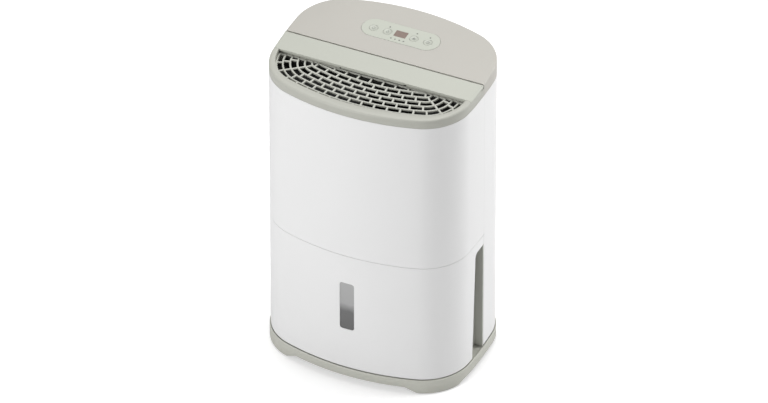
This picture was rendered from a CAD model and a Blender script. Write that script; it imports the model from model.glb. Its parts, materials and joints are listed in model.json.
"""Dehumidifier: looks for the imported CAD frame. White shells, grey-green trim, tank, handle and controls."""
import json
import math
import random

import bmesh
import bpy
from mathutils import Matrix, Vector


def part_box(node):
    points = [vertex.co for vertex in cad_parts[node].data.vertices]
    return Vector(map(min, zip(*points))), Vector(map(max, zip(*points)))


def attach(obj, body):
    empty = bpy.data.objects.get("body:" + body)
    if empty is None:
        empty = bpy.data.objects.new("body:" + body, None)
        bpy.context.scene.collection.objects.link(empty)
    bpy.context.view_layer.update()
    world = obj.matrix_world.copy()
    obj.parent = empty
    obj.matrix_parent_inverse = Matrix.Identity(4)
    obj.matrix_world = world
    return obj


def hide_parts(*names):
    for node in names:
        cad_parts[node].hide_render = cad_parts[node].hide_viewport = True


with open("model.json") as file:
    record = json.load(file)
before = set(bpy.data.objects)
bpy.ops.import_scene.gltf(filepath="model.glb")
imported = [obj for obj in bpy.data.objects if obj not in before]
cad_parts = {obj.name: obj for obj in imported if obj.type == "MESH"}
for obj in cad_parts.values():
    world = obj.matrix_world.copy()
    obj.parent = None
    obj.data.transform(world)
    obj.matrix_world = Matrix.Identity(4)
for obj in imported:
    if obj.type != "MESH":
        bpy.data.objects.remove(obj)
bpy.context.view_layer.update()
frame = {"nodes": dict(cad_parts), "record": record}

scene = bpy.context.scene
MM = 0.001

# ---- Camera ----
# A long lens looks down on the front right corner, as in a catalogue picture. It is so long that
# upright edges stay parallel. The picture is a little over twice as wide as the machine is tall.
camera_azimuth = math.radians(25.1)
camera_elevation = math.radians(36.8)
camera_lens = 500
sensor_width = 36
picture_width = 1.3095
aim = Vector((0.0020, 0, 0.2865))
camera_back = Vector((
    math.sin(camera_azimuth) * math.cos(camera_elevation),
    -math.cos(camera_azimuth) * math.cos(camera_elevation),
    math.sin(camera_elevation),
))
camera_data = bpy.data.cameras.new("camera")
camera_data.lens = camera_lens
camera_data.sensor_width = sensor_width
camera_data.clip_end = 60
camera = bpy.data.objects.new("camera", camera_data)
camera.location = aim + camera_back * (picture_width * camera_lens / sensor_width)
camera.rotation_euler = camera_back.to_track_quat("Z", "Y").to_euler()
scene.collection.objects.link(camera)
scene.camera = camera

# ---- Studio: floor, sky and softboxes ----
# A white sweep under an even white sky, with one softbox far round to the left and one far round to
# the right, so that the walls are bright and the upright corner between them is a little darker.
scene.view_settings.view_transform = "Standard"
world = bpy.data.worlds.new("studio")
scene.world = world
world.use_nodes = True
world.node_tree.nodes["Background"].inputs["Color"].default_value = (1, 1, 1, 1)
world.node_tree.nodes["Background"].inputs["Strength"].default_value = 0.40


def softbox(name, heading, elevation, distance, size, power):
    """A square area light that faces the machine from a heading round it, in degrees from +X."""
    data = bpy.data.lights.new(name, "AREA")
    data.size = size
    data.energy = power
    lamp = bpy.data.objects.new(name, data)
    across = math.cos(math.radians(elevation))
    away = Vector((
        across * math.cos(math.radians(heading)),
        across * math.sin(math.radians(heading)),
        math.sin(math.radians(elevation)),
    ))
    lamp.location = Vector((0, 0, 0.3)) + away * distance
    lamp.rotation_euler = away.to_track_quat("Z", "Y").to_euler()
    scene.collection.objects.link(lamp)


softbox("left_softbox", -113, 20, 2.6, 1.0, 34)
softbox("right_softbox", 34, 20, 2.6, 1.0, 37)
softbox("top_softbox", 100, 78, 2.6, 1.8, 46)

floor_bm = bmesh.new()
bmesh.ops.create_grid(floor_bm, x_segments=4, y_segments=4, size=12)
floor_mesh = bpy.data.meshes.new("floor")
floor_bm.to_mesh(floor_mesh)
floor_bm.free()
floor = bpy.data.objects.new("floor", floor_mesh)
scene.collection.objects.link(floor)
floor_material = bpy.data.materials.new("white_sweep")
floor_material.use_nodes = True
floor_shader = floor_material.node_tree.nodes["Principled BSDF"]
floor_shader.inputs["Base Color"].default_value = (0.76, 0.76, 0.76, 1)
floor_shader.inputs["Roughness"].default_value = 0.9
floor_shader.inputs["Specular IOR Level"].default_value = 0.1
floor_shader.inputs["Emission Color"].default_value = (1, 1, 1, 1)
seen_directly = floor_material.node_tree.nodes.new("ShaderNodeLightPath")
floor_glow = floor_material.node_tree.nodes.new("ShaderNodeMath")
floor_glow.operation = "MULTIPLY"
floor_glow.inputs[1].default_value = 0.38
floor_material.node_tree.links.new(seen_directly.outputs["Is Camera Ray"], floor_glow.inputs[0])
floor_material.node_tree.links.new(floor_glow.outputs["Value"], floor_shader.inputs["Emission Strength"])
floor_mesh.materials.append(floor_material)

# ---- Base ----
# One grey-green moulding that carries everything. Its skirt stands a little proud of the white
# walls and is cut away in a low arch on each side, which leaves four corner feet.
base_low, base_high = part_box("base")
foot_z = base_low[2]
base_top = base_high[2]
body_w = 370 * MM
body_d = 290 * MM
front_bow = 44 * MM
side_bow = 12 * MM
corner_r = 88 * MM
front_rad = ((body_w / 2) ** 2 + front_bow ** 2) / (2 * front_bow)
side_rad = ((body_d / 2) ** 2 + side_bow ** 2) / (2 * side_bow)
front_centre = Vector((0, -body_d / 2 + front_rad))
side_centre = Vector((body_w / 2 - side_rad, 0))


def corner_radius(inset):
    """The upright corners get tighter as an outline moves inwards, down to 3 mm."""
    return max(corner_r - inset, 3 * MM)


def corner_centre(inset):
    """The centre of the corner arc that meets the front arc and the side arc without a kink."""
    near = front_rad - inset - corner_radius(inset)
    far = side_rad - inset - corner_radius(inset)
    between = side_centre - front_centre
    reach = between.length
    on_line = (near * near - far * far + reach * reach) / (2 * reach)
    off_line = math.sqrt(near * near - on_line * on_line)
    unit = between / reach
    return front_centre + on_line * unit + off_line * Vector((-unit.y, unit.x))


def heading(vector):
    return math.atan2(vector.y, vector.x)


def arc_ends(inset):
    """The headings at which the front arc turns into the corner arc, and the corner into the side."""
    return heading(corner_centre(inset) - front_centre), heading(corner_centre(inset) - side_centre)


def outward(x, y):
    """The unit vector that points straight out of the footprint at a place on or near its outline."""
    place = Vector((abs(x), -abs(y)))
    front_end, side_end = arc_ends(0)
    if heading(place - front_centre) <= front_end:
        out = place - front_centre
    elif heading(place - side_centre) >= side_end:
        out = place - side_centre
    else:
        out = place - corner_centre(0)
    out.normalize()
    return Vector((math.copysign(out.x, x), math.copysign(out.y, y), 0))


def outline(bm, inset=0.0, steps=(16, 18, 8)):
    """Spins one closed ring of edges round the footprint, arc by arc, and mirrors it to all sides."""
    front_end, side_end = arc_ends(inset)
    verts = [bm.verts.new((0, -body_d / 2 + inset, 0))]
    edges = []
    arcs = (
        (front_centre, front_end + math.pi / 2),
        (corner_centre(inset), side_end - front_end),
        (side_centre, -side_end),
    )
    for (centre, sweep), count in zip(arcs, steps):
        known = set(bm.edges)
        known_verts = set(bm.verts)
        bmesh.ops.spin(bm, geom=[verts[-1]], cent=(centre.x, centre.y, 0), axis=(0, 0, 1), angle=sweep,
                       steps=count, use_duplicate=False)
        edges += [edge for edge in bm.edges if edge not in known]
        fresh = [vert for vert in bm.verts if vert not in known_verts]
        verts += sorted(fresh, key=lambda vert: vert.co.y)
    for axis in ("X", "Y"):
        made = bmesh.ops.mirror(bm, geom=verts + edges, matrix=Matrix.Identity(4), merge_dist=0, axis=axis)["geom"]
        both = set(verts) | {g for g in made if isinstance(g, bmesh.types.BMVert)}
        bmesh.ops.remove_doubles(bm, verts=list(both), dist=1e-6)
        verts = [vert for vert in both if vert.is_valid]
        known_verts = set(verts)
        edges = [edge for edge in bm.edges if edge.verts[0] in known_verts and edge.verts[1] in known_verts]
    return edges


def level(z):
    """A height that is the same all round."""
    return lambda x, y: z


def place_ring(edges, old_inset, inset, height):
    """Moves a ring straight in or out from one inset to another, and to a height."""
    for vert in {vert for edge in edges for vert in edge.verts}:
        out = outward(vert.co.x, vert.co.y)
        spot = vert.co + out * (old_inset - inset)
        vert.co = (spot.x, spot.y, height(spot.x, spot.y))


def loft(bm, section, closed=False, steps=(16, 18, 8)):
    """Carries the footprint through a section of (inset, height) corners by extruding ring after ring."""
    rings = [outline(bm, 0, steps)]
    place_ring(rings[0], 0, *section[0])
    for (old_inset, _), (inset, height) in zip(section, section[1:]):
        made = bmesh.ops.extrude_edge_only(bm, edges=rings[-1])["geom"]
        fresh = {g for g in made if isinstance(g, bmesh.types.BMVert)}
        rings.append([g for g in made if isinstance(g, bmesh.types.BMEdge) and set(g.verts) <= fresh])
        place_ring(rings[-1], old_inset, inset, height)
    if closed:
        bmesh.ops.bridge_loops(bm, edges=rings[0] + rings[-1])
    return rings


def box(bm, low, high):
    """A block between two corners, for a rib, rail or boss of a moulding."""
    size = Vector(high) - Vector(low)
    middle = (Vector(high) + Vector(low)) / 2
    matrix = Matrix.Translation(middle) @ Matrix.Diagonal((size.x, size.y, size.z, 1))
    return bmesh.ops.create_cube(bm, size=1, matrix=matrix)["verts"]


def trim(bm, point, normal, cap=True):
    """Cuts off what lies beyond a plane, and closes the cut."""
    geom = bm.verts[:] + bm.edges[:] + bm.faces[:]
    cut = bmesh.ops.bisect_plane(bm, geom=geom, dist=1e-7, plane_co=point, plane_no=normal, clear_outer=True)
    edges = [g for g in cut["geom_cut"] if isinstance(g, bmesh.types.BMEdge) and g.is_boundary]
    if cap and edges:
        bmesh.ops.holes_fill(bm, edges=edges, sides=0)


def face_outwards(bm):
    """Points an open wall's faces away from the middle of the machine."""
    bmesh.ops.recalc_face_normals(bm, faces=bm.faces[:])
    face = max(bm.faces, key=lambda f: abs(f.calc_center_median().x) + abs(f.calc_center_median().y))
    middle = face.calc_center_median()
    if face.normal.dot(outward(middle.x, middle.y)) < 0:
        bmesh.ops.reverse_faces(bm, faces=bm.faces[:])


def make_piece(bm, name, material, slot, body, *nodes, wall=0.0, bevel=0.0, rounds=2, angle=40, sheet=False):
    """Turns a finished bmesh into a named piece that rides on its body and stands for CAD nodes."""
    if sheet:
        face_outwards(bm)
    else:
        bmesh.ops.recalc_face_normals(bm, faces=bm.faces[:])
    for edge in bm.edges:
        edge.smooth = not (edge.is_manifold and edge.calc_face_angle(0) > math.radians(angle))
    for face in bm.faces:
        face.smooth = True
    mesh = bpy.data.meshes.new(name)
    bm.to_mesh(mesh)
    bm.free()
    mesh.materials.append(material)
    obj = bpy.data.objects.new(name, mesh)
    scene.collection.objects.link(obj)
    if wall:
        skin = obj.modifiers.new("wall", "SOLIDIFY")
        skin.thickness = wall
        skin.offset = -1
        skin.use_even_offset = True
        skin.use_quality_normals = True
    if bevel:
        rounding = obj.modifiers.new("rounding", "BEVEL")
        rounding.width = bevel
        rounding.segments = rounds
        rounding.limit_method = "ANGLE"
        rounding.angle_limit = math.radians(angle)
        rounding.harden_normals = True
    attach(obj, body)
    if nodes:
        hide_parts(*nodes)
    return obj


def shader_group(name, inputs, outputs):
    """An empty node group with named sockets, for an effect that several materials share."""
    group = bpy.data.node_groups.new(name, "ShaderNodeTree")
    for label, kind, value in inputs:
        socket = group.interface.new_socket(label, in_out="INPUT", socket_type=kind)
        socket.default_value = value
    for label, kind in outputs:
        group.interface.new_socket(label, in_out="OUTPUT", socket_type=kind)
    return group, group.nodes.new("NodeGroupInput"), group.nodes.new("NodeGroupOutput")


# Fine grain of a moulded surface: a height for the bump and a slow, faint mottle
grain_group, grain_in, grain_out = shader_group(
    "moulded_grain",
    [("Grain Scale", "NodeSocketFloat", 900.0), ("Mottle Scale", "NodeSocketFloat", 9.0)],
    [("Height", "NodeSocketFloat"), ("Mottle", "NodeSocketFloat")],
)
grain_place = grain_group.nodes.new("ShaderNodeTexCoord")
grain_noise = grain_group.nodes.new("ShaderNodeTexNoise")
grain_noise.inputs["Detail"].default_value = 3
mottle_noise = grain_group.nodes.new("ShaderNodeTexNoise")
mottle_noise.inputs["Detail"].default_value = 4
grain_group.links.new(grain_place.outputs["Object"], grain_noise.inputs["Vector"])
grain_group.links.new(grain_place.outputs["Object"], mottle_noise.inputs["Vector"])
grain_group.links.new(grain_in.outputs["Grain Scale"], grain_noise.inputs["Scale"])
grain_group.links.new(grain_in.outputs["Mottle Scale"], mottle_noise.inputs["Scale"])
grain_group.links.new(grain_noise.outputs["Fac"], grain_out.inputs["Height"])
grain_group.links.new(mottle_noise.outputs["Fac"], grain_out.inputs["Mottle"])

# Handling marks: faint short streaks, more of them near the floor where shoes and carpet rub
scuff_group, scuff_in, scuff_out = shader_group(
    "scuffs",
    [("Amount", "NodeSocketFloat", 0.3), ("Reach", "NodeSocketFloat", 0.12)],
    [("Mask", "NodeSocketFloat")],
)
scuff_place = scuff_group.nodes.new("ShaderNodeTexCoord")
scuff_stretch = scuff_group.nodes.new("ShaderNodeMapping")
scuff_stretch.inputs["Scale"].default_value = (30, 30, 190)
scuff_noise = scuff_group.nodes.new("ShaderNodeTexNoise")
scuff_noise.inputs["Scale"].default_value = 1.0
scuff_noise.inputs["Detail"].default_value = 5
scuff_edge = scuff_group.nodes.new("ShaderNodeMapRange")
scuff_edge.inputs["From Min"].default_value = 0.62
scuff_edge.inputs["From Max"].default_value = 0.72
scuff_height = scuff_group.nodes.new("ShaderNodeSeparateXYZ")
scuff_fade = scuff_group.nodes.new("ShaderNodeMapRange")
scuff_fade.inputs["To Min"].default_value = 1.0
scuff_fade.inputs["To Max"].default_value = 0.15
scuff_both = scuff_group.nodes.new("ShaderNodeMath")
scuff_both.operation = "MULTIPLY"
scuff_scaled = scuff_group.nodes.new("ShaderNodeMath")
scuff_scaled.operation = "MULTIPLY"
scuff_group.links.new(scuff_place.outputs["Object"], scuff_stretch.inputs["Vector"])
scuff_group.links.new(scuff_stretch.outputs["Vector"], scuff_noise.inputs["Vector"])
scuff_group.links.new(scuff_noise.outputs["Fac"], scuff_edge.inputs["Value"])
scuff_group.links.new(scuff_place.outputs["Object"], scuff_height.inputs["Vector"])
scuff_group.links.new(scuff_height.outputs["Z"], scuff_fade.inputs["Value"])
scuff_group.links.new(scuff_in.outputs["Reach"], scuff_fade.inputs["From Max"])
scuff_group.links.new(scuff_edge.outputs["Result"], scuff_both.inputs[0])
scuff_group.links.new(scuff_fade.outputs["Result"], scuff_both.inputs[1])
scuff_group.links.new(scuff_both.outputs["Value"], scuff_scaled.inputs[0])
scuff_group.links.new(scuff_in.outputs["Amount"], scuff_scaled.inputs[1])
scuff_group.links.new(scuff_scaled.outputs["Value"], scuff_out.inputs["Mask"])


def moulded(name, colour, roughness, grain_scale=900, depth=0.08, mottle=0.05, scuffs=0.3, metallic=0.0,
            specular=0.5, distance=0.0004):
    """A moulded or painted finish: its colour with a faint mottle, fine grain bump and handling marks."""
    material = bpy.data.materials.new(name)
    material.use_nodes = True
    nodes = material.node_tree.nodes
    links = material.node_tree.links
    shader = nodes["Principled BSDF"]
    shader.inputs["Metallic"].default_value = metallic
    shader.inputs["Specular IOR Level"].default_value = specular
    grain = nodes.new("ShaderNodeGroup")
    grain.node_tree = grain_group
    grain.inputs["Grain Scale"].default_value = grain_scale
    marks = nodes.new("ShaderNodeGroup")
    marks.node_tree = scuff_group
    marks.inputs["Amount"].default_value = scuffs
    tint = nodes.new("ShaderNodeMix")
    tint.data_type = "RGBA"
    tint.inputs["A"].default_value = (*[c * (1 - mottle) for c in colour], 1)
    tint.inputs["B"].default_value = (*[min(c * (1 + mottle), 1) for c in colour], 1)
    worn = nodes.new("ShaderNodeMix")
    worn.data_type = "RGBA"
    worn.inputs["B"].default_value = (*[c * 0.72 for c in colour], 1)
    shine = nodes.new("ShaderNodeMapRange")
    shine.inputs["To Min"].default_value = roughness - 0.05
    shine.inputs["To Max"].default_value = roughness + 0.07
    bump = nodes.new("ShaderNodeBump")
    bump.inputs["Strength"].default_value = depth
    bump.inputs["Distance"].default_value = distance
    links.new(grain.outputs["Mottle"], tint.inputs["Factor"])
    links.new(tint.outputs["Result"], worn.inputs["A"])
    links.new(marks.outputs["Mask"], worn.inputs["Factor"])
    links.new(worn.outputs["Result"], shader.inputs["Base Color"])
    links.new(grain.outputs["Mottle"], shine.inputs["Value"])
    links.new(shine.outputs["Result"], shader.inputs["Roughness"])
    links.new(grain.outputs["Height"], bump.inputs["Height"])
    links.new(bump.outputs["Normal"], shader.inputs["Normal"])
    return material


trim_plastic = moulded("grey_green_plastic", (0.48, 0.482, 0.432), 0.5, depth=0.14)

base_lip = 2 * MM
front_arch_z = 13 * MM
side_arch_z = 9.5 * MM
arch_half_x = (103 * MM, 124 * MM)
arch_half_y = (62 * MM, 78 * MM)
skirt_t = 3.2 * MM
tray_z = 28 * MM


def ramp(value, near, far):
    """0 on the flat of an arch, 1 on the foot, and a straight slope between."""
    return min(max((abs(value) - near) / (far - near), 0), 1)


def skirt_edge(lift=0.0):
    """Height of the skirt's lower edge: on the floor at the feet and raised over each arch."""
    def height(x, y):
        front_rise = (front_arch_z - foot_z) * (1 - ramp(x, *arch_half_x))
        side_rise = (side_arch_z - foot_z) * (1 - ramp(y, *arch_half_y))
        return foot_z + max(front_rise, side_rise) + lift
    return height


base_bm = bmesh.new()
loft(base_bm, [
    (5.5 * MM, level(front_arch_z + 4 * MM)), (skirt_t - base_lip + 0.4 * MM, level(front_arch_z + 4 * MM)),
    (skirt_t - base_lip, skirt_edge(0.6 * MM)), (skirt_t - base_lip - 0.6 * MM, skirt_edge()),
    (0.4 * MM - base_lip, skirt_edge()), (0.1 * MM - base_lip, skirt_edge(0.5 * MM)),
    (0 - base_lip, level(base_top - 3.2 * MM)), (0.2 * MM - base_lip, level(base_top - 2.2 * MM)),
    (0.7 * MM - base_lip, level(base_top - 1.6 * MM)), (1.3 * MM - base_lip, level(base_top - 1.5 * MM)),
    (1.8 * MM - base_lip, level(base_top - 1.8 * MM)), (2.1 * MM - base_lip, level(tray_z)),
], steps=(44, 26, 26))
bmesh.ops.holes_fill(base_bm, edges=[edge for edge in base_bm.edges if edge.is_boundary], sides=0)
for side in (-1, 1):
    box(base_bm, (side * 105 * MM - 5 * MM, -118 * MM, tray_z - 1 * MM), (side * 105 * MM + 5 * MM, 0, base_top + MM))
    for end in (-1, 1):
        box(base_bm, (side * 135 * MM - 16 * MM, end * 92 * MM - 16 * MM, foot_z),
            (side * 135 * MM + 16 * MM, end * 92 * MM + 16 * MM, front_arch_z + 4.5 * MM))
    box(base_bm, (side * 60 * MM - 1.5 * MM, -125 * MM, front_arch_z - MM), (side * 60 * MM + 1.5 * MM, 125 * MM, front_arch_z + 4.5 * MM))
    box(base_bm, (-165 * MM, side * 45 * MM - 1.5 * MM, front_arch_z - MM), (165 * MM, side * 45 * MM + 1.5 * MM, front_arch_z + 4.5 * MM))
make_piece(base_bm, "base_moulding", trim_plastic, "grey_green_plastic", "cabinet", "base")

# ---- Rubber feet ----
# Four dished grey rubber discs pressed into the corner feet, with a ring groove that grips the floor.
rubber = moulded("foot_rubber", (0.035, 0.035, 0.037), 0.75, grain_scale=1400, depth=0.25, mottle=0.15)


def turned(bm, section, matrix, count=32):
    """Turns a section of (radius, height) points round an upright axis, then puts it in place."""
    verts = [bm.verts.new((radius, 0, height)) for radius, height in section]
    edges = [bm.edges.new(pair) for pair in zip(verts, verts[1:])]
    made = bmesh.ops.spin(bm, geom=verts + edges, cent=(0, 0, 0), axis=(0, 0, 1), angle=math.tau,
                          steps=count, use_merge=True, use_duplicate=False)
    linked = set(verts)
    frontier = list(verts)
    while frontier:
        vert = frontier.pop()
        for edge in vert.link_edges:
            other = edge.other_vert(vert)
            if other not in linked:
                linked.add(other)
                frontier.append(other)
    bmesh.ops.remove_doubles(bm, verts=list(linked), dist=1e-6)
    linked = [vert for vert in linked if vert.is_valid]
    bmesh.ops.transform(bm, matrix=matrix, verts=linked)
    return made


def foot_pads():
    """Four foot discs in one mesh."""
    bm = bmesh.new()
    foot_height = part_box("rubber_feet")[1][2]
    for side in (-1, 1):
        for end in (-1, 1):
            turned(bm, [
                (0, foot_height), (13 * MM, foot_height), (13 * MM, 0.7 * MM), (12.4 * MM, 0), (9 * MM, 0),
                (8.4 * MM, 0.8 * MM), (7 * MM, 0.8 * MM), (6.4 * MM, 0), (3 * MM, 0), (2 * MM, 0.5 * MM), (0, 0.5 * MM),
            ], Matrix.Translation((side * 135 * MM, end * 92 * MM, 0)))
    return bm


make_piece(foot_pads(), "foot_pads", rubber, "rubber", "cabinet", "rubber_feet")

# ---- White walls: tank front, upper front shell and rear shell ----
# Three white moulded walls on the same outline. The tank's front is the lower front wall with a
# water window and a hand notch each side; fine seams part it from the front and rear shells.
wall_t = 3 * MM
seam_z = 268 * MM
collar_z = 562 * MM
split_y = 10 * MM
white_colour = (0.72, 0.72, 0.72)
white_plastic = moulded("white_plastic", white_colour, 0.36, grain_scale=700, depth=0.03, mottle=0.012, scuffs=0.12)


def wall_sheet(low, high):
    """The outer face of a wall between two heights."""
    bm = bmesh.new()
    loft(bm, [(0, level(low)), (0, level(high))], steps=(40, 30, 24))
    return bm


def cut_opening(bm, corners, axis, keep=lambda centre: True):
    """Cuts a convex opening, seen along an axis (0 for X, 1 for Y, 2 for Z), into the faces that keep() picks."""
    across = [i for i in range(3) if i != axis]
    middle = sum((Vector(c) for c in corners), Vector((0, 0))) / len(corners)
    low = [min(c[i] for c in corners) - 2 * MM for i in range(2)]
    high = [max(c[i] for c in corners) + 2 * MM for i in range(2)]

    def near(face):
        spots = [[vert.co[i] for i in across] for vert in face.verts]
        return keep(face.calc_center_median()) and all(
            max(s[i] for s in spots) >= low[i] and min(s[i] for s in spots) <= high[i] for i in range(2))

    for start, end in zip(corners, corners[1:] + corners[:1]):
        along = Vector(end) - Vector(start)
        normal = Vector((along.y, -along.x)).normalized()
        if normal.dot(middle - Vector(start)) > 0:
            normal.negate()
        point3 = [0.0, 0.0, 0.0]
        normal3 = [0.0, 0.0, 0.0]
        for i, spot in enumerate(across):
            point3[spot] = start[i]
            normal3[spot] = normal[i]
        faces = [face for face in bm.faces if near(face)]
        geom = set(faces)
        for face in faces:
            geom.update(face.edges)
            geom.update(face.verts)
        bmesh.ops.bisect_plane(bm, geom=list(geom), dist=1e-7, plane_co=point3, plane_no=normal3)

    def inside(face):
        spot = Vector([face.calc_center_median()[i] for i in across])
        for start, end in zip(corners, corners[1:] + corners[:1]):
            along = Vector(end) - Vector(start)
            side = along.x * (spot.y - start[1]) - along.y * (spot.x - start[0])
            turn = along.x * (middle.y - start[1]) - along.y * (middle.x - start[0])
            if side * turn < 0:
                return False
        return True

    gone = [face for face in bm.faces if keep(face.calc_center_median()) and inside(face)]
    bmesh.ops.delete(bm, geom=gone, context="FACES")


def rounded_corners(low, high, radius, count=5):
    """The corner points of a rectangle with round corners."""
    points = []
    for cx, cy, start in ((high[0] - radius, high[1] - radius, 0), (low[0] + radius, high[1] - radius, 90),
                          (low[0] + radius, low[1] + radius, 180), (high[0] - radius, low[1] + radius, 270)):
        for i in range(count + 1):
            angle = math.radians(start + 90 * i / count)
            points.append((cx + radius * math.cos(angle), cy + radius * math.sin(angle)))
    return points


front_bm = wall_sheet(seam_z, collar_z)
trim(front_bm, (0, split_y, 0), (0, 1, 0), cap=False)
make_piece(front_bm, "front_wall", white_plastic, "white_plastic", "cabinet", "front_shell",
           wall=wall_t, bevel=0.5 * MM, sheet=True)

window_low, window_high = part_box("tank_window")
tank_cover_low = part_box("tank_front")[0]
notch_top = 248 * MM
notch_round = 10 * MM
notch_front_low = -35 * MM
notch_front_high = -23.5 * MM
tank_bm = wall_sheet(tank_cover_low[2], seam_z - 0.6 * MM)
trim(tank_bm, (0, split_y - 0.5 * MM, 0), (0, 1, 0), cap=False)
cut_opening(tank_bm, rounded_corners((window_low[0], window_low[2]), (window_high[0], window_high[2]), 5 * MM), 1,
            keep=lambda centre: abs(centre.x) < 0.05 and centre.y < 0)
notch_corners = [(20 * MM, notch_top), (20 * MM, 0), (notch_front_low, 0)]
for i in range(8):
    bend = math.radians(177 - 87 * i / 7)
    notch_corners.append((notch_front_high + notch_round * (1 + math.cos(bend)),
                          notch_top - notch_round * (1 - math.sin(bend))))
cut_opening(tank_bm, notch_corners, 0, keep=lambda centre: abs(centre.x) > 0.12)
make_piece(tank_bm, "tank_front_wall", white_plastic, "white_plastic", "tank", "tank_front",
           wall=wall_t, bevel=0.5 * MM, sheet=True)

inlet_low, inlet_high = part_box("inlet_grille")
rear_bm = wall_sheet(base_top, collar_z)
trim(rear_bm, (0, split_y, 0), (0, -1, 0), cap=False)
cut_opening(rear_bm, rounded_corners((inlet_low[0] - 0.4 * MM, inlet_low[2] - 0.4 * MM),
                                     (inlet_high[0] + 0.4 * MM, inlet_high[2] + 0.4 * MM), 3 * MM, 3), 1)
make_piece(rear_bm, "rear_wall", white_plastic, "white_plastic", "cabinet", "rear_shell",
           wall=wall_t, bevel=0.5 * MM, sheet=True)

# ---- Water window ----
# A smoked clear lens let into the tank's front. Dry above and dark below the water inside it.
window_material = bpy.data.materials.new("water_window")
window_material.use_nodes = True
window_nodes = window_material.node_tree.nodes
window_links = window_material.node_tree.links
window_shader = window_nodes["Principled BSDF"]
window_shader.inputs["Roughness"].default_value = 0.12
window_place = window_nodes.new("ShaderNodeTexCoord")
window_axes = window_nodes.new("ShaderNodeSeparateXYZ")
window_wobble = window_nodes.new("ShaderNodeTexNoise")
window_wobble.inputs["Scale"].default_value = 30
window_level = window_nodes.new("ShaderNodeMath")
window_level.operation = "MULTIPLY_ADD"
window_level.inputs[1].default_value = 0.02
window_ramp = window_nodes.new("ShaderNodeValToRGB")
window_span = window_nodes.new("ShaderNodeMapRange")
window_span.inputs["From Min"].default_value = window_low[2]
window_span.inputs["From Max"].default_value = window_high[2]
for place, grey in ((0.0, 0.105), (0.47, 0.13), (0.58, 0.25), (0.66, 0.34), (1.0, 0.36)):
    ends = {0.0: 0, 1.0: -1}
    stops = window_ramp.color_ramp.elements
    stop = stops[ends[place]] if place in ends else stops.new(place)
    stop.color = (grey, grey, grey, 1)
window_links.new(window_place.outputs["Object"], window_axes.inputs["Vector"])
window_links.new(window_place.outputs["Object"], window_wobble.inputs["Vector"])
window_links.new(window_wobble.outputs["Fac"], window_level.inputs[0])
window_links.new(window_axes.outputs["Z"], window_level.inputs[2])
window_links.new(window_level.outputs["Value"], window_span.inputs["Value"])
window_links.new(window_span.outputs["Result"], window_ramp.inputs["Fac"])
window_links.new(window_ramp.outputs["Color"], window_shader.inputs["Base Color"])


def window_pane():
    """The lens: a rounded plate bent to the front wall's curve, set just below its face."""
    bm = bmesh.new()
    corners = rounded_corners((window_low[0], window_low[2]), (window_high[0], window_high[2]), 5 * MM, 6)
    ring = [bm.verts.new((x, 0, z)) for x, z in corners]
    bm.faces.new(ring)
    for x in (-10, -5, 0, 5, 10):
        bmesh.ops.bisect_plane(bm, geom=bm.verts[:] + bm.edges[:] + bm.faces[:], dist=1e-7,
                               plane_co=(x * MM, 0, 0), plane_no=(1, 0, 0))
    for vert in bm.verts:
        vert.co.y = front_centre.y - math.sqrt((front_rad - 0.8 * MM) ** 2 - vert.co.x ** 2)
    return bm


make_piece(window_pane(), "water_window_lens", window_material, "window_lens", "tank", "tank_window",
           wall=2 * MM, bevel=0.3 * MM, sheet=True)

# ---- Collar ----
# A grey-green moulding round the top of the white walls. Its flat sloping rim frames the sunken
# outlet grille, and behind the rim it carries the handle's hinge posts and the finger well.
top_z = 586 * MM
top_tilt = math.radians(3.4)
rim_w = 17 * MM
grille_drop = 9 * MM
handle_front_y = -44 * MM
cover_front_y = 6.5 * MM
plate_t = 4 * MM
top_frame = Matrix.Translation((0, 0, top_z)) @ Matrix.Rotation(top_tilt, 4, "X")


def under_top(drop):
    """The height of the plane that lies a stated distance below the sloping top face."""
    return lambda x, y: top_z + y * math.tan(top_tilt) - drop / math.cos(top_tilt)


collar_plastic = moulded("collar_plastic", (0.40, 0.402, 0.36), 0.46, depth=0.12, mottle=0.03, scuffs=0.2)
fillet = [(4 * MM * (1 - math.sin(a)), 4 * MM * (1 - math.cos(a)))
          for a in (math.radians(step) for step in (90, 72, 54, 36, 18, 0))]


def top_edge():
    """The section of the rounded outer edge of the top face, from the wall up to the flat."""
    return [(inset, under_top(drop)) for inset, drop in fillet]


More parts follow.
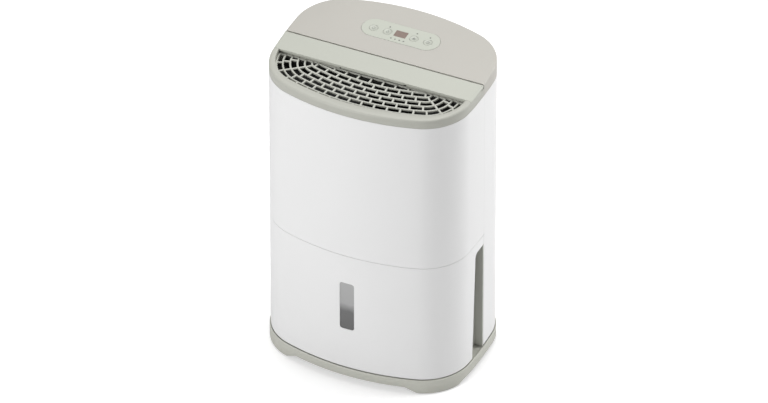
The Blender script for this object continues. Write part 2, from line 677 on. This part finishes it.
rim_bm = bmesh.new()
rim_rings = loft(rim_bm, [(16 * MM, level(collar_z + 0.3 * MM)), (0.2 * MM, level(collar_z + 0.3 * MM)),
              (0, level(collar_z + 0.6 * MM))] + top_edge() +
     [(rim_w - 1.4 * MM, under_top(0)), (rim_w - 0.4 * MM, under_top(0.4 * MM)), (rim_w, under_top(1.4 * MM)),
      (rim_w, under_top(grille_drop + 3.1 * MM)), (rim_w + 2.6 * MM, under_top(grille_drop + 3.1 * MM)),
      (rim_w + 2.6 * MM, level(collar_z + 0.6 * MM)), (rim_w + 2.6 * MM, level(collar_z + 0.3 * MM))],
     closed=True, steps=(44, 30, 20))
recess_stretch = 1.04
for ring in rim_rings[:1] + rim_rings[9:]:
    for vert in {vert for edge in ring for vert in edge.verts}:
        vert.co.x *= recess_stretch
trim(rim_bm, (0, handle_front_y, 0), (0, 1, 0))
for low_y, high_y, drop in ((handle_front_y, -2.6 * MM, 4.4 * MM), (-2.6 * MM, 6 * MM, 8.8 * MM)):
    band_bm = bmesh.new()
    loft(band_bm, [(4 * MM, level(collar_z + 0.3 * MM)), (0.2 * MM, level(collar_z + 0.3 * MM)),
                   (0, level(collar_z + 0.6 * MM)), (0, under_top(drop + 0.5 * MM)),
                   (0.5 * MM, under_top(drop)), (4 * MM, under_top(drop))], closed=True, steps=(44, 30, 20))
    trim(band_bm, (0, low_y, 0), (0, -1, 0))
    trim(band_bm, (0, high_y, 0), (0, 1, 0))
    band_mesh = bpy.data.meshes.new("band")
    band_bm.to_mesh(band_mesh)
    band_bm.free()
    rim_bm.from_mesh(band_mesh)
    bpy.data.meshes.remove(band_mesh)
make_piece(rim_bm, "collar_rim", collar_plastic, "grey_green_plastic", "cabinet", "top_collar", bevel=0.3 * MM)

# The deck under the handle, with its finger well, the walls beside the well and the hinge posts
well_x = 62 * MM
well_z = 554 * MM
post_x = 163 * MM
pivot = Vector(next(j for j in frame["record"]["behaviour"]["joints"] if j["name"] == "lift_handle_swing")["pos_m"])


def lying(bm, radius, x_low, x_high, y, z, count=24):
    """A round bar along X."""
    matrix = Matrix.Translation(((x_low + x_high) / 2, y, z)) @ Matrix.Rotation(math.pi / 2, 4, "Y")
    bmesh.ops.create_cone(bm, cap_ends=True, segments=count, radius1=radius, radius2=radius,
                          depth=x_high - x_low, matrix=matrix)


def half_width(y, inset):
    """Half the width of the footprint at a depth, measured at an inset from its outline."""
    front_end, side_end = arc_ends(inset)
    centre = corner_centre(inset)
    if abs(y) > abs(centre.y + corner_radius(inset) * math.sin(side_end)):
        return centre.x + math.sqrt(corner_radius(inset) ** 2 - (abs(y) + centre.y) ** 2)
    return side_centre.x + math.sqrt((side_rad - inset) ** 2 - y * y)


deck_bm = bmesh.new()
deck_x = half_width(handle_front_y, 4 * MM)
for side in (-1, 1):
    low, high = sorted((side * well_x, side * deck_x))
    box(deck_bm, (low, handle_front_y + 0.1 * MM, collar_z + 0.3 * MM), (high, 6 * MM, collar_z + 3 * MM))
    box(deck_bm, (low, handle_front_y + 4.5 * MM, collar_z + 2 * MM),
        (high, handle_front_y + 5.9 * MM, under_top(4.6 * MM)(0, handle_front_y)))
    low, high = sorted((side * well_x, side * (well_x + 2 * MM)))
    box(deck_bm, (low, handle_front_y + 0.1 * MM, well_z - 2 * MM), (high, 2 * MM, collar_z + 2 * MM))
    for face_x in (side * post_x,):
        box(deck_bm, (face_x - 4 * MM, pivot.y - 1.5 * MM, collar_z + 2 * MM), (face_x + 4 * MM, pivot.y + 1.5 * MM, pivot.z))
        lying(deck_bm, 2.9 * MM, face_x - 4 * MM, face_x + 4 * MM, pivot.y, pivot.z)
box(deck_bm, (-well_x, handle_front_y + 0.1 * MM, well_z - 2 * MM), (well_x, 2 * MM, well_z))
box(deck_bm, (-well_x, handle_front_y + 0.1 * MM, well_z), (well_x, handle_front_y + 2 * MM, collar_z + 2 * MM))
box(deck_bm, (-well_x, 0, well_z), (well_x, 2 * MM, collar_z + 3 * MM))
box(deck_bm, (-well_x, 0, collar_z + 1 * MM), (well_x, 6 * MM, collar_z + 3 * MM))
make_piece(deck_bm, "collar_deck", collar_plastic, "grey_green_plastic", "cabinet", bevel=0.4 * MM)

# ---- Outlet grille ----
# A grey-green lattice snapped into the collar: seven curved rows of brick-like slots that follow the
# front edge, with bars a few millimetres deep. Behind it a dark duct leads down to the blower.
row_pitch = 12 * MM
slot_pitch = 22 * MM
bar_w = 3 * MM
row_count = 7
bar_depth = 3 * MM
grille_plastic = moulded("grille_plastic", (0.455, 0.46, 0.415), 0.48, depth=0.1, mottle=0.03, scuffs=0.15)
grille_bm = bmesh.new()
bar_top = grille_drop


def grille_ring(bm, middle, width, depth):
    """One curved bar that follows the outline at an inset."""
    loft(bm, [(middle - width / 2, under_top(bar_top + depth)), (middle - width / 2, under_top(bar_top + 0.5 * MM)),
              (middle - width / 2 + 0.5 * MM, under_top(bar_top)), (middle + width / 2 - 0.5 * MM, under_top(bar_top)),
              (middle + width / 2, under_top(bar_top + 0.5 * MM)), (middle + width / 2, under_top(bar_top + depth))],
         closed=True, steps=(26, 14, 6))


for k in range(1, row_count):
    grille_ring(grille_bm, rim_w + k * row_pitch, bar_w, bar_depth)
grille_ring(grille_bm, rim_w + 1.6 * MM, 2.8 * MM, 3 * MM)
grille_rear_y = handle_front_y + 4.3 * MM
trim(grille_bm, (0, grille_rear_y, 0), (0, 1, 0))


def along(inset, distance):
    """A place on the inset outline, a distance round it to the right of the front's middle, and the
    heading in which it faces."""
    front_end, side_end = arc_ends(inset)
    front_length = (front_rad - inset) * (front_end + math.pi / 2)
    corner_length = corner_radius(inset) * (side_end - front_end)
    if distance < front_length:
        angle = -math.pi / 2 + distance / (front_rad - inset)
        centre, radius = front_centre, front_rad - inset
    elif distance < front_length + corner_length:
        angle = front_end + (distance - front_length) / corner_radius(inset)
        centre, radius = corner_centre(inset), corner_radius(inset)
    else:
        angle = side_end + (distance - front_length - corner_length) / (side_rad - inset)
        centre, radius = side_centre, side_rad - inset
    return centre + radius * Vector((math.cos(angle), math.sin(angle))), angle


for k in range(row_count):
    for i in range(10):
        spot, angle = along(rim_w + (k + 0.5) * row_pitch, i * slot_pitch + (k % 2) * slot_pitch / 2)
        if spot.y > grille_rear_y - 1.5 * MM:
            continue
        for side in ((1,) if spot.x < 1e-6 else (1, -1)):
            rib = box(grille_bm, (-row_pitch / 2, -bar_w / 2, -1), (row_pitch / 2, bar_w / 2, 1))
            facing = angle if side > 0 else math.pi - angle
            bmesh.ops.transform(grille_bm, verts=rib, matrix=Matrix.Translation((side * spot.x, spot.y, 0)) @
                                Matrix.Rotation(facing, 4, "Z"))
            for vert in rib:
                drop = bar_top + 0.15 * MM if vert.co.z > 0 else bar_top + bar_depth - 0.4 * MM
                vert.co.y = min(vert.co.y, grille_rear_y - 0.1 * MM)
                vert.co.z = under_top(drop)(vert.co.x, vert.co.y)
rear_x = half_width(grille_rear_y - 2.4 * MM, rim_w + 0.4 * MM)
rear_bar = box(grille_bm, (-rear_x, grille_rear_y - 2.4 * MM, -1), (rear_x, grille_rear_y, 1))
for vert in rear_bar:
    drop = bar_top if vert.co.z > 0 else bar_top + bar_depth
    vert.co.z = under_top(drop)(vert.co.x, vert.co.y)
bmesh.ops.scale(grille_bm, vec=(recess_stretch, 1, 1), verts=grille_bm.verts[:])
make_piece(grille_bm, "outlet_lattice", grille_plastic, "grey_green_plastic", "cabinet", "outlet_grille",
           bevel=0.35 * MM, rounds=1)

# ---- Carrying handle ----
# A full-width grey-green strip that lies flush in the top and folds up on a steel pin at each end.
# Its front edge bridges the finger well, and ribs stiffen it from below.
handle_plastic = moulded("handle_plastic", (0.435, 0.445, 0.395), 0.5, depth=0.12, mottle=0.03, scuffs=0.25)
handle_bm = bmesh.new()
handle_rings = loft(
    handle_bm, [(0.6 * MM, under_top(plate_t)), (0, under_top(plate_t - 0.05 * MM))] + top_edge()[1:], steps=(44, 30, 20))
bmesh.ops.holes_fill(handle_bm, edges=handle_rings[0], sides=0)
bmesh.ops.holes_fill(handle_bm, edges=handle_rings[-1], sides=0)
trim(handle_bm, (0, handle_front_y + 0.5 * MM, 0), (0, -1, 0))
strip_rear = top_frame.to_3x3() @ Vector((0, 1, 0))
trim(handle_bm, pivot + strip_rear * 1.7 * MM, strip_rear)
barrel_r = 4 * MM
barrel_x = half_width(pivot.y, 0.6 * MM)
for low, high in ((-barrel_x, -post_x - 4.4 * MM), (-post_x + 4.4 * MM, post_x - 4.4 * MM), (post_x + 4.4 * MM, barrel_x)):
    lying(handle_bm, barrel_r, low, high, pivot.y, pivot.z, 40)


def on_top(bm, low, high):
    """A block stated in the sloping top's own frame, where heights are measured from the top face."""
    bmesh.ops.transform(bm, matrix=top_frame, verts=box(bm, low, high))


on_top(handle_bm, (-58 * MM, handle_front_y + 0.6 * MM, -6 * MM), (58 * MM, handle_front_y + 4 * MM, -MM))
for x in (-140, -112, -84, -50, -17, 17, 50, 84, 112, 140):
    on_top(handle_bm, (x * MM - 0.8 * MM, -38 * MM, -7.5 * MM), (x * MM + 0.8 * MM, -4 * MM, -3 * MM))
for y in (-37, -20):
    on_top(handle_bm, (-140 * MM, y * MM - 0.8 * MM, -7.5 * MM), (140 * MM, y * MM + 0.8 * MM, -3 * MM))
make_piece(handle_bm, "handle_strip", handle_plastic, "grey_green_plastic", "lift_handle", "carry_handle", bevel=0.5 * MM)

# ---- Control cover and overlay ----
# A warm grey cover over the rear half of the top, with an oval recess for the control panel. A thin
# printed overlay fills the recess, with round holes for the keys, the display and the lamps.
panel_v = 72 * MM
panel_length = 143 * MM
panel_width = 46 * MM
panel_frame = top_frame @ Matrix.Translation((0, panel_v, 0))
key_radius = 7.5 * MM
key_places = {"power": -50 * MM, "humidity": -24 * MM, "fan": 25 * MM, "timer": 51 * MM}
key_v = -2 * MM
lamp_places = [(-25 * MM, 11 * MM), (25 * MM, 12.5 * MM), (50 * MM, 11 * MM)]
lamp_places += [((i - 1.5) * 7.8 * MM, -15.5 * MM) for i in range(4)]
lamp_radius = 1.3 * MM
display_size = (22 * MM, 16 * MM)
cover_plastic = moulded("cover_plastic", (0.425, 0.412, 0.378), 0.52, depth=0.16, mottle=0.035, scuffs=0.2)
overlay_film = moulded("overlay_film", (0.45, 0.468, 0.41), 0.42, grain_scale=1500, depth=0.05, mottle=0.03, scuffs=0.1)


def loop(bm, points, frame_matrix):
    """A closed ring of edges through flat points, placed by a matrix."""
    verts = [bm.verts.new(frame_matrix @ Vector((x, y, 0))) for x, y in points]
    return [bm.edges.new((a, b)) for a, b in zip(verts, verts[1:] + verts[:1])]


def circle(radius, middle=(0, 0), count=32):
    return [(middle[0] + radius * math.cos(math.tau * i / count),
             middle[1] + radius * math.sin(math.tau * i / count)) for i in range(count)]


def oval(length, width):
    return rounded_corners((-length / 2, -width / 2), (length / 2, width / 2), width / 2 - 1e-5, 16)


cover_bm = bmesh.new()
cover_rings = loft(cover_bm, [(0, level(collar_z + 0.3 * MM)), (0, level(collar_z + 0.8 * MM))] + top_edge(),
                   steps=(44, 30, 20))
bmesh.ops.holes_fill(cover_bm, edges=cover_rings[-1], sides=0)
trim(cover_bm, (0, cover_front_y, 0), (0, -1, 0), cap=False)
cover_cap = max(cover_bm.faces, key=lambda face: face.calc_area())
cap_edges = list(cover_cap.edges)
bmesh.ops.delete(cover_bm, geom=[cover_cap], context="FACES_ONLY")
cap_edges += loop(cover_bm, oval(panel_length + 0.5 * MM, panel_width + 0.5 * MM), panel_frame)
bmesh.ops.triangle_fill(cover_bm, use_beauty=True, edges=cap_edges, normal=top_frame.to_3x3() @ Vector((0, 0, 1)))
make_piece(cover_bm, "control_top_cover", cover_plastic, "cover_plastic", "cabinet", "control_cover",
           wall=2.8 * MM, bevel=0.4 * MM, sheet=True)

overlay_bm = bmesh.new()
panel_up = Matrix.Translation((0, 0, 0.3 * MM))
overlay_edges = loop(overlay_bm, oval(panel_length, panel_width), panel_frame @ panel_up)
for x in key_places.values():
    overlay_edges += loop(overlay_bm, circle(key_radius + 0.4 * MM, (x, key_v), 48), panel_frame @ panel_up)
for spot in lamp_places:
    overlay_edges += loop(overlay_bm, circle(lamp_radius + 0.1 * MM, spot, 20), panel_frame @ panel_up)
overlay_edges += loop(overlay_bm, rounded_corners(
    (-display_size[0] / 2, -display_size[1] / 2), (display_size[0] / 2, display_size[1] / 2), 0.8 * MM, 4),
    panel_frame @ panel_up)
bmesh.ops.triangle_fill(overlay_bm, use_beauty=True, edges=overlay_edges, normal=top_frame.to_3x3() @ Vector((0, 0, 1)))
overlay_floor = bmesh.ops.extrude_face_region(overlay_bm, geom=overlay_bm.faces[:])["geom"]
bmesh.ops.translate(overlay_bm, vec=top_frame.to_3x3() @ Vector((0, 0, -2.4 * MM)),
                    verts=[g for g in overlay_floor if isinstance(g, bmesh.types.BMVert)])
make_piece(overlay_bm, "control_panel_overlay", overlay_film, "overlay_film", "cabinet", "control_overlay", bevel=0.25 * MM)

# ---- Keys ----
# Four round membrane keys, flush with the overlay, each with a small printed sign: a power mark,
# a drop, a fan and a clock.
key_film = moulded("key_film", (0.44, 0.457, 0.402), 0.4, grain_scale=1500, depth=0.05, mottle=0.03, scuffs=0.1)
sign_ink = moulded("sign_ink", (0.17, 0.175, 0.165), 0.6, grain_scale=1500, depth=0.04, mottle=0.1, scuffs=0.4)
ink_t = 0.06 * MM


def arc_stroke(bm, middle, radius, start, sweep, width=0.7 * MM):
    """A flat curved stroke of ink, spun from one short edge."""
    a, b = (bm.verts.new((middle[0] + (radius + side * width / 2) * math.cos(start),
                          middle[1] + (radius + side * width / 2) * math.sin(start), 0)) for side in (-1, 1))
    edge = bm.edges.new((a, b))
    full = abs(sweep) > 6.28
    bmesh.ops.spin(bm, geom=[a, b, edge], cent=(*middle, 0), axis=(0, 0, 1), angle=sweep,
                   steps=max(6, int(abs(sweep) * 6)), use_merge=full, use_duplicate=False)


def stroke(bm, start, end, width=0.7 * MM):
    """A straight stroke of ink."""
    run = Vector(end) - Vector(start)
    side = Vector((-run.y, run.x)).normalized() * width / 2
    corners = [Vector(start) - side, Vector(end) - side, Vector(end) + side, Vector(start) + side]
    bm.faces.new([bm.verts.new((c.x, c.y, 0)) for c in corners])


def draw_sign(bm, sign):
    """The outline of one key's sign, centred on the key."""
    if sign == "power":
        arc_stroke(bm, (0, 0), 2.6 * MM, math.radians(125), math.radians(290))
        stroke(bm, (0, 1 * MM), (0, 3.6 * MM))
    elif sign == "humidity":
        arc_stroke(bm, (0, -0.8 * MM), 2 * MM, math.radians(150), math.radians(240))
        stroke(bm, (-1.75 * MM, 0.2 * MM), (0, 3.3 * MM))
        stroke(bm, (1.75 * MM, 0.2 * MM), (0, 3.3 * MM))
    elif sign == "fan":
        for i in range(3):
            bearing = math.radians(90 + 120 * i)
            arc_stroke(bm, (1.9 * MM * math.cos(bearing), 1.9 * MM * math.sin(bearing)), 1.3 * MM, 0, math.tau)
        arc_stroke(bm, (0, 0), 0.4 * MM, 0, math.tau, 0.6 * MM)
    else:
        arc_stroke(bm, (0, 0), 2.8 * MM, 0, math.tau)
        stroke(bm, (0, 0), (0, 1.9 * MM))
        stroke(bm, (0, 0), (1.4 * MM, -0.7 * MM))


for key, x in key_places.items():
    key_bm = bmesh.new()
    turned(key_bm, [(0, -5.4 * MM), (2 * MM, -5.4 * MM), (2 * MM, -3.4 * MM), (key_radius, -3.4 * MM),
                    (key_radius, 0), (key_radius - 0.3 * MM, 0.3 * MM), (key_radius - 1 * MM, 0.3 * MM),
                    (key_radius - 1.3 * MM, 0.12 * MM), (0, 0.12 * MM)],
           panel_frame @ Matrix.Translation((x, key_v, 0)), 48)
    make_piece(key_bm, key + "_key", key_film, "overlay_film", "key_" + key, "button_" + key)
    sign_bm = bmesh.new()
    draw_sign(sign_bm, key)
    ink_top = bmesh.ops.extrude_face_region(sign_bm, geom=sign_bm.faces[:])["geom"]
    bmesh.ops.translate(sign_bm, vec=(0, 0, ink_t), verts=[g for g in ink_top if isinstance(g, bmesh.types.BMVert)])
    bmesh.ops.transform(sign_bm, matrix=panel_frame @ Matrix.Translation((x, key_v, 0.12 * MM)), verts=sign_bm.verts[:])
    make_piece(sign_bm, key + "_sign", sign_ink, "overlay_film", "key_" + key)

# ---- Display and lamps ----
# A smoked brown window for the humidity reading, unlit, and seven small dark indicator lenses.
display_lens = bpy.data.materials.new("display_lens")
display_lens.use_nodes = True
lens_nodes = display_lens.node_tree.nodes
lens_links = display_lens.node_tree.links
lens_shader = lens_nodes["Principled BSDF"]
lens_shader.inputs["Roughness"].default_value = 0.18
lens_place = lens_nodes.new("ShaderNodeTexCoord")
lens_speckle = lens_nodes.new("ShaderNodeTexNoise")
lens_speckle.inputs["Scale"].default_value = 260
lens_tint = lens_nodes.new("ShaderNodeMix")
lens_tint.data_type = "RGBA"
lens_tint.inputs["A"].default_value = (0.20, 0.15, 0.13, 1)
lens_tint.inputs["B"].default_value = (0.25, 0.195, 0.17, 1)
lens_links.new(lens_place.outputs["Object"], lens_speckle.inputs["Vector"])
lens_links.new(lens_speckle.outputs["Fac"], lens_tint.inputs["Factor"])
lens_links.new(lens_tint.outputs["Result"], lens_shader.inputs["Base Color"])
display_bm = bmesh.new()
lens_half = Vector((display_size[0] / 2 - 0.1 * MM, display_size[1] / 2 - 0.1 * MM))
lens_edges = loop(display_bm, rounded_corners(-lens_half, lens_half, 0.7 * MM, 4), panel_frame @ panel_up)
bmesh.ops.holes_fill(display_bm, edges=lens_edges, sides=0)
lens_back = bmesh.ops.extrude_face_region(display_bm, geom=display_bm.faces[:])["geom"]
bmesh.ops.translate(display_bm, vec=top_frame.to_3x3() @ Vector((0, 0, -2.2 * MM)),
                    verts=[g for g in lens_back if isinstance(g, bmesh.types.BMVert)])
make_piece(display_bm, "display_glass", display_lens, "display_lens", "cabinet", "display_window", bevel=0.2 * MM)

lamp_lens = moulded("lamp_lens", (0.10, 0.105, 0.10), 0.25, grain_scale=1500, depth=0.03, mottle=0.1, scuffs=0.1)
lamps_bm = bmesh.new()
for spot in lamp_places:
    turned(lamps_bm, [(0, -6 * MM), (lamp_radius, -6 * MM), (lamp_radius, 0.1 * MM), (lamp_radius - 0.3 * MM, 0.26 * MM),
                      (0, 0.3 * MM)], panel_frame @ Matrix.Translation((*spot, 0)), 16)
make_piece(lamps_bm, "panel_lamps", lamp_lens, "led_lens", "cabinet", "indicator_leds")

# ---- Rear inlet grille and filter ----
# A white louvred panel that pulls out of the back with the filter frame clipped behind it, a plain
# dark frame that holds a fine woven net.
inlet_bm = wall_sheet(inlet_low[2], inlet_high[2])
trim(inlet_bm, (0, 0.1, 0), (0, -1, 0), cap=False)
trim(inlet_bm, (inlet_low[0], 0, 0), (-1, 0, 0), cap=False)
trim(inlet_bm, (inlet_high[0], 0, 0), (1, 0, 0), cap=False)
for row in range(19):
    slot_low = 314 * MM + row * 11 * MM
    for middle in (-68 * MM, 0, 68 * MM):
        cut_opening(inlet_bm, rounded_corners((middle - 31 * MM, slot_low), (middle + 31 * MM, slot_low + 5 * MM),
                                              1.2 * MM, 2), 1)
make_piece(inlet_bm, "inlet_louvres", white_plastic, "white_plastic", "filter_cassette", "inlet_grille",
           wall=wall_t, bevel=0.3 * MM, rounds=1, sheet=True)

# ---- Fixings and inside parts ----
# Everything else keeps its own shape: clips, tank, coils, compressor, blower and boards, each in the
# finish of its own stock, from zinc-coated sheet and drawn copper to black enamel and foam.
stock = {
    "grip_channel_right grip_channel_left": ("channel_plastic", (0.46, 0.465, 0.425), 0.55, 0.0, 900),
    "outlet_duct fan_scroll": ("duct_plastic", (0.010, 0.010, 0.009), 0.85, 0.0, 900),
    "filter_frame tank_switch drip_tray": ("dark_plastic", (0.03, 0.028, 0.026), 0.6, 0.0, 900),
    "fan_impeller": ("impeller_plastic", (0.02, 0.02, 0.022), 0.5, 0.0, 900),
    "drain_bung cord_gland compressor_mounts": ("bung_rubber", (0.03, 0.03, 0.032), 0.75, 0.0, 1400),
    "handle_pins fan_motor fan_shaft": ("plain_steel", (0.55, 0.55, 0.54), 0.32, 1.0, 1600),
    "chassis_wall mid_deck coil_brackets motor_bracket": ("zinc_sheet", (0.52, 0.54, 0.55), 0.45, 1.0, 220),
    "evaporator condenser": ("fin_aluminium", (0.72, 0.73, 0.74), 0.38, 1.0, 500),
    "refrigerant_pipes capillary_tube filter_drier": ("drawn_copper", (0.68, 0.34, 0.20), 0.33, 1.0, 300),
    "compressor": ("black_enamel", (0.018, 0.018, 0.02), 0.3, 0.0, 260),
    "control_board power_board humidity_sensor": ("board_lacquer", (0.02, 0.13, 0.05), 0.4, 0.0, 400),
    "tank_bucket tank_lid": ("frosted_tank", (0.62, 0.66, 0.68), 0.35, 0.0, 600),
    "tank_handle drain_spout": ("fitting_plastic", (0.50, 0.505, 0.455), 0.5, 0.0, 900),
    "tank_float": ("float_foam", (0.72, 0.72, 0.69), 0.85, 0.0, 700),
    "switch_plunger": ("red_plastic", (0.50, 0.03, 0.02), 0.45, 0.0, 900),
    "run_capacitor": ("capacitor_case", (0.62, 0.62, 0.58), 0.4, 0.0, 900),
}
for names, (label, colour, roughness, metallic, scale) in stock.items():
    finish = moulded(label, colour, roughness, grain_scale=scale, depth=0.15, mottle=0.06, metallic=metallic)
    for name in names.split():
        node = frame["nodes"][name]
        node.data.materials.clear()
        node.data.materials.append(finish)

# The filter net: a dark weave of two crossing sets of threads
net_material = bpy.data.materials.new("woven_net")
net_material.use_nodes = True
net_nodes = net_material.node_tree.nodes
net_links = net_material.node_tree.links
net_shader = net_nodes["Principled BSDF"]
net_shader.inputs["Roughness"].default_value = 0.8
net_place = net_nodes.new("ShaderNodeTexCoord")
net_cross = net_nodes.new("ShaderNodeMath")
net_cross.operation = "MAXIMUM"
for socket, direction in enumerate(("X", "Z")):
    thread = net_nodes.new("ShaderNodeTexWave")
    thread.bands_direction = direction
    thread.inputs["Scale"].default_value = 160
    net_links.new(net_place.outputs["Object"], thread.inputs["Vector"])
    net_links.new(thread.outputs["Fac"], net_cross.inputs[socket])
net_tint = net_nodes.new("ShaderNodeMix")
net_tint.data_type = "RGBA"
net_tint.inputs["A"].default_value = (0.006, 0.006, 0.007, 1)
net_tint.inputs["B"].default_value = (0.055, 0.055, 0.06, 1)
net_bump = net_nodes.new("ShaderNodeBump")
net_bump.inputs["Strength"].default_value = 0.5
net_bump.inputs["Distance"].default_value = 0.0005
net_links.new(net_cross.outputs["Value"], net_tint.inputs["Factor"])
net_links.new(net_tint.outputs["Result"], net_shader.inputs["Base Color"])
net_links.new(net_cross.outputs["Value"], net_bump.inputs["Height"])
net_links.new(net_bump.outputs["Normal"], net_shader.inputs["Normal"])
frame["nodes"]["filter_mesh"].data.materials.clear()
frame["nodes"]["filter_mesh"].data.materials.append(net_material)

# ---- Case screws ----
# Six pan-head steel screws with a cross recess hold the rear wall on.
screw_bm = bmesh.new()
for screw_x, screw_z in ((-60, 46), (60, 46), (-90, 286), (60, 286), (-90, 544), (90, 544)):
    back_y = -front_centre.y + math.sqrt(front_rad ** 2 - (screw_x * MM) ** 2)
    place = Matrix.Translation((screw_x * MM, back_y, screw_z * MM)) @ Matrix.Rotation(-math.pi / 2, 4, "X")
    turned(screw_bm, [(0, -3 * MM), (2 * MM, -3 * MM), (2 * MM, -1.4 * MM), (3.5 * MM, -1.4 * MM), (3.5 * MM, 0),
                      (2.9 * MM, 0.7 * MM), (1.9 * MM, 1 * MM), (1.7 * MM, 0.2 * MM), (0, -0.2 * MM)], place, 24)
    for turn in (0.3, 0.3 + math.pi / 2):
        blade = box(screw_bm, (-1.8 * MM, -0.35 * MM, -0.3 * MM), (1.8 * MM, 0.35 * MM, 0.5 * MM))
        bmesh.ops.transform(screw_bm, verts=blade, matrix=place @ Matrix.Rotation(turn, 4, "Z"))
screw_steel = moulded("screw_steel", (0.5, 0.5, 0.5), 0.35, grain_scale=1800, depth=0.1, metallic=1.0)
make_piece(screw_bm, "wall_screws", screw_steel, "steel", "cabinet", "case_screws")
